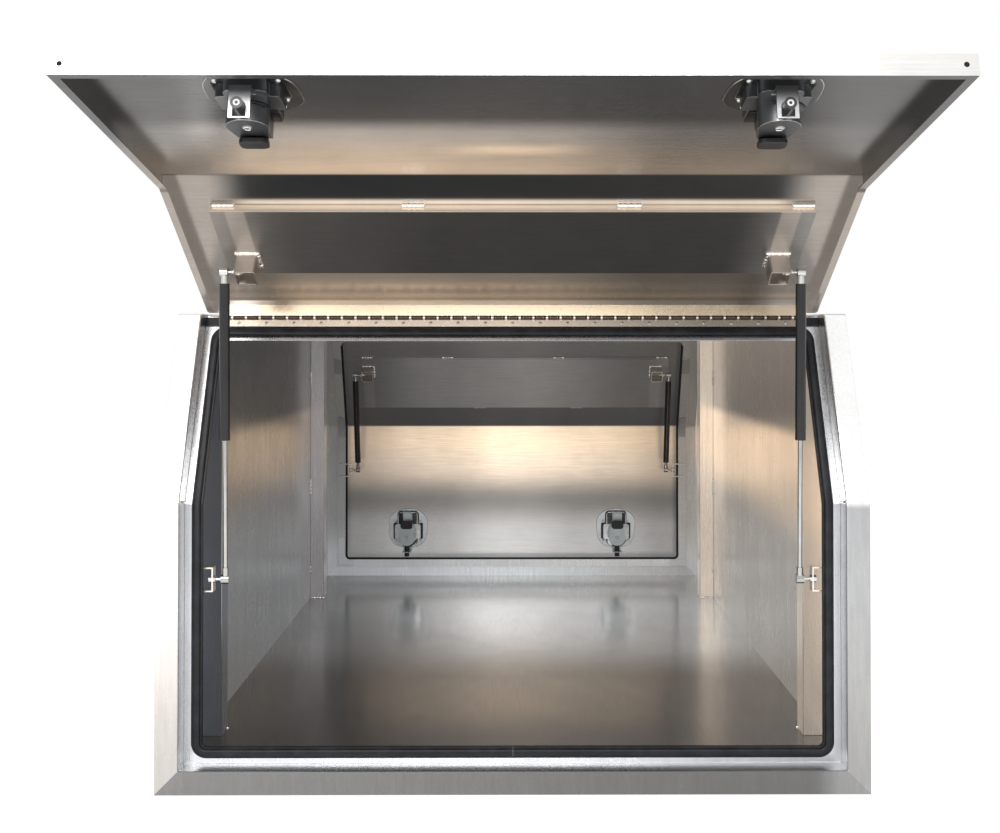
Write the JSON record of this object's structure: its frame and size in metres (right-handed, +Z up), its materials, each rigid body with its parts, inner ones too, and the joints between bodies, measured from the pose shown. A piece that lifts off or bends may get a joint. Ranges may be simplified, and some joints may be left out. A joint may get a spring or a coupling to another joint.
{
  "type": "canopy toolbox",
  "caption": "Aluminium canopy toolbox with sloping upper corners and lift-up doors front and rear on piano hinges and gas struts, the front door open.",
  "frame": {"origin": "centre of the underside", "axes": "+Z up; +Y from the front door, which stands open, to the rear door; +X to the right as seen from the front"},
  "size_m": [1.2, 2.371, 1.1211],
  "materials": {
    "cabinet_sheet": "brushed mill finish",
    "door_sheet": "satin mill finish",
    "hinge_metal": "bright",
    "pin_steel": "bright drawn",
    "rivet_aluminium": "satin",
    "rubber": "matt black",
    "strut_paint": "black gloss",
    "zinc_steel": "zinc plated",
    "black_plastic": "matt black",
    "bolt_sleeve": "black sleeve, pale core",
    "latch_zinc": "zinc plated",
    "latch_chrome": "polished"
  },
  "bodies": {
    "cabinet": {"floor_panel": "cabinet_sheet", "roof_panel": "cabinet_sheet", "left_wall": "cabinet_sheet", "right_wall": "cabinet_sheet", "front_frame": "cabinet_sheet", "rear_frame": "cabinet_sheet", "corner_gussets": "cabinet_sheet", "wall_posts": "cabinet_sheet", "front_seal": "rubber", "rear_seal": "rubber", "front_hinge_fixed_leaf": "hinge_metal", "rear_hinge_fixed_leaf": "hinge_metal", "hinge_pins": "pin_steel", "frame_rivets": "rivet_aluminium", "hinge_end_rubbers": "rubber", "strut_brackets": "cabinet_sheet", "lower_ball_studs": "zinc_steel"},
    "front_door": {"front_door_skin": "door_sheet", "front_door_stiffener": "cabinet_sheet", "front_hinge_door_leaf": "hinge_metal", "front_strut_mounts": "cabinet_sheet", "front_latch_dishes": "latch_chrome", "front_latch_rings": "latch_chrome", "front_latch_housings": "latch_zinc", "front_latch_knobs": "black_plastic", "front_latch_screws": "latch_chrome"},
    "rear_door": {"rear_door_skin": "door_sheet", "rear_door_stiffener": "cabinet_sheet", "rear_hinge_door_leaf": "hinge_metal", "rear_strut_mounts": "cabinet_sheet", "rear_latch_dishes": "latch_chrome", "rear_latch_rings": "latch_chrome", "rear_latch_housings": "latch_zinc", "rear_latch_knobs": "black_plastic", "rear_latch_screws": "latch_chrome"},
    "front_left_rod": {"front_left_strut_rod": "zinc_steel"},
    "front_left_tube": {"front_left_strut_tube": "strut_paint", "front_left_strut_socket": "zinc_steel"},
    "front_right_rod": {"front_right_strut_rod": "zinc_steel"},
    "front_right_tube": {"front_right_strut_tube": "strut_paint", "front_right_strut_socket": "zinc_steel"},
    "rear_left_rod": {"rear_left_strut_rod": "zinc_steel"},
    "rear_left_tube": {"rear_left_strut_tube": "strut_paint", "rear_left_strut_socket": "zinc_steel"},
    "rear_right_rod": {"rear_right_strut_rod": "zinc_steel"},
    "rear_right_tube": {"rear_right_strut_tube": "strut_paint", "rear_right_strut_socket": "zinc_steel"},
    "front_left_handle": {"front_left_handle": "latch_chrome"},
    "front_left_bolt": {"front_left_bolt": "bolt_sleeve"},
    "front_right_handle": {"front_right_handle": "latch_chrome"},
    "front_right_bolt": {"front_right_bolt": "bolt_sleeve"},
    "rear_left_handle": {"rear_left_handle": "latch_chrome"},
    "rear_left_bolt": {"rear_left_bolt": "bolt_sleeve"},
    "rear_right_handle": {"rear_right_handle": "latch_chrome"},
    "rear_right_bolt": {"rear_right_bolt": "bolt_sleeve"}
  },
  "joints": [
    {"name": "front_door_swing", "type": "hinge", "parent": "cabinet", "child": "front_door", "pos_m": [0, -0.71961, 0.802], "axis": [1, 0, 0], "range_deg": [0, 100]},
    {"name": "rear_door_swing", "type": "hinge", "parent": "cabinet", "child": "rear_door", "pos_m": [0, 0.71961, 0.802], "axis": [1, 0, 0], "range_deg": [0, 100]},
    {"name": "front_left_rod_swing", "type": "hinge", "parent": "cabinet", "child": "front_left_rod", "pos_m": [-0.4935, -0.84, 0.35], "axis": [1, 0, 0], "range_deg": [-14.7, 0]},
    {"name": "front_left_tube_slide", "type": "slide", "parent": "front_left_rod", "child": "front_left_tube", "axis": [0, -0.0276, 0.9996], "range_m": [-0.21314, 0]},
    {"name": "front_right_rod_swing", "type": "hinge", "parent": "cabinet", "child": "front_right_rod", "pos_m": [0.4935, -0.84, 0.35], "axis": [1, 0, 0], "range_deg": [-14.7, 0]},
    {"name": "front_right_tube_slide", "type": "slide", "parent": "front_right_rod", "child": "front_right_tube", "axis": [0, -0.0276, 0.9996], "range_m": [-0.21314, 0]},
    {"name": "rear_left_rod_swing", "type": "hinge", "parent": "cabinet", "child": "rear_left_rod", "pos_m": [-0.4935, 0.84, 0.35], "axis": [1, 0, 0], "range_deg": [-14.7, 0]},
    {"name": "rear_left_tube_slide", "type": "slide", "parent": "rear_left_rod", "child": "rear_left_tube", "axis": [0, -0.224, 0.9746], "range_m": [0, 0.21314]},
    {"name": "rear_right_rod_swing", "type": "hinge", "parent": "cabinet", "child": "rear_right_rod", "pos_m": [0.4935, 0.84, 0.35], "axis": [1, 0, 0], "range_deg": [-14.7, 0]},
    {"name": "rear_right_tube_slide", "type": "slide", "parent": "rear_right_rod", "child": "rear_right_tube", "axis": [0, -0.224, 0.9746], "range_m": [0, 0.21314]},
    {"name": "front_left_handle_lift", "type": "hinge", "parent": "front_door", "child": "front_left_handle", "pos_m": [-0.337, -1.29706, 1.06872], "axis": [1, 0, 0], "range_deg": [0, 45]},
    {"name": "front_left_bolt_slide", "type": "slide", "parent": "front_door", "child": "front_left_bolt", "axis": [0, -0.9848, 0.1736], "range_m": [0, 0.0195]},
    {"name": "front_right_handle_lift", "type": "hinge", "parent": "front_door", "child": "front_right_handle", "pos_m": [0.337, -1.29706, 1.06872], "axis": [1, 0, 0], "range_deg": [0, 45]},
    {"name": "front_right_bolt_slide", "type": "slide", "parent": "front_door", "child": "front_right_bolt", "axis": [0, -0.9848, 0.1736], "range_m": [0, 0.0195]},
    {"name": "rear_left_handle_lift", "type": "hinge", "parent": "rear_door", "child": "rear_left_handle", "pos_m": [-0.337, 0.882, 0.187], "axis": [-1, 0, 0], "range_deg": [0, 45]},
    {"name": "rear_left_bolt_slide", "type": "slide", "parent": "rear_door", "child": "rear_left_bolt", "axis": [0, 0, -1], "range_m": [0, 0.0195]},
    {"name": "rear_right_handle_lift", "type": "hinge", "parent": "rear_door", "child": "rear_right_handle", "pos_m": [0.337, 0.882, 0.187], "axis": [-1, 0, 0], "range_deg": [0, 45]},
    {"name": "rear_right_bolt_slide", "type": "slide", "parent": "rear_door", "child": "rear_right_bolt", "axis": [0, 0, -1], "range_m": [0, 0.0195]}
  ],
  "couplings": [
    {"joint": "front_left_rod_swing", "follows": "front_door_swing", "ratio": -0.14525},
    {"joint": "front_left_tube_slide", "follows": "front_door_swing", "m_per_rad": -0.12183},
    {"joint": "front_right_rod_swing", "follows": "front_door_swing", "ratio": -0.14525},
    {"joint": "front_right_tube_slide", "follows": "front_door_swing", "m_per_rad": -0.12183},
    {"joint": "rear_left_rod_swing", "follows": "rear_door_swing", "ratio": -0.14525},
    {"joint": "rear_left_tube_slide", "follows": "rear_door_swing", "m_per_rad": 0.12183},
    {"joint": "rear_right_rod_swing", "follows": "rear_door_swing", "ratio": -0.14525},
    {"joint": "rear_right_tube_slide", "follows": "rear_door_swing", "m_per_rad": 0.12183},
    {"joint": "front_left_bolt_slide", "follows": "front_left_handle_lift", "m_per_rad": 0.024192},
    {"joint": "front_right_bolt_slide", "follows": "front_right_handle_lift", "m_per_rad": 0.024192},
    {"joint": "rear_left_bolt_slide", "follows": "rear_left_handle_lift", "m_per_rad": 0.024192},
    {"joint": "rear_right_bolt_slide", "follows": "rear_right_handle_lift", "m_per_rad": 0.024192}
  ]
}
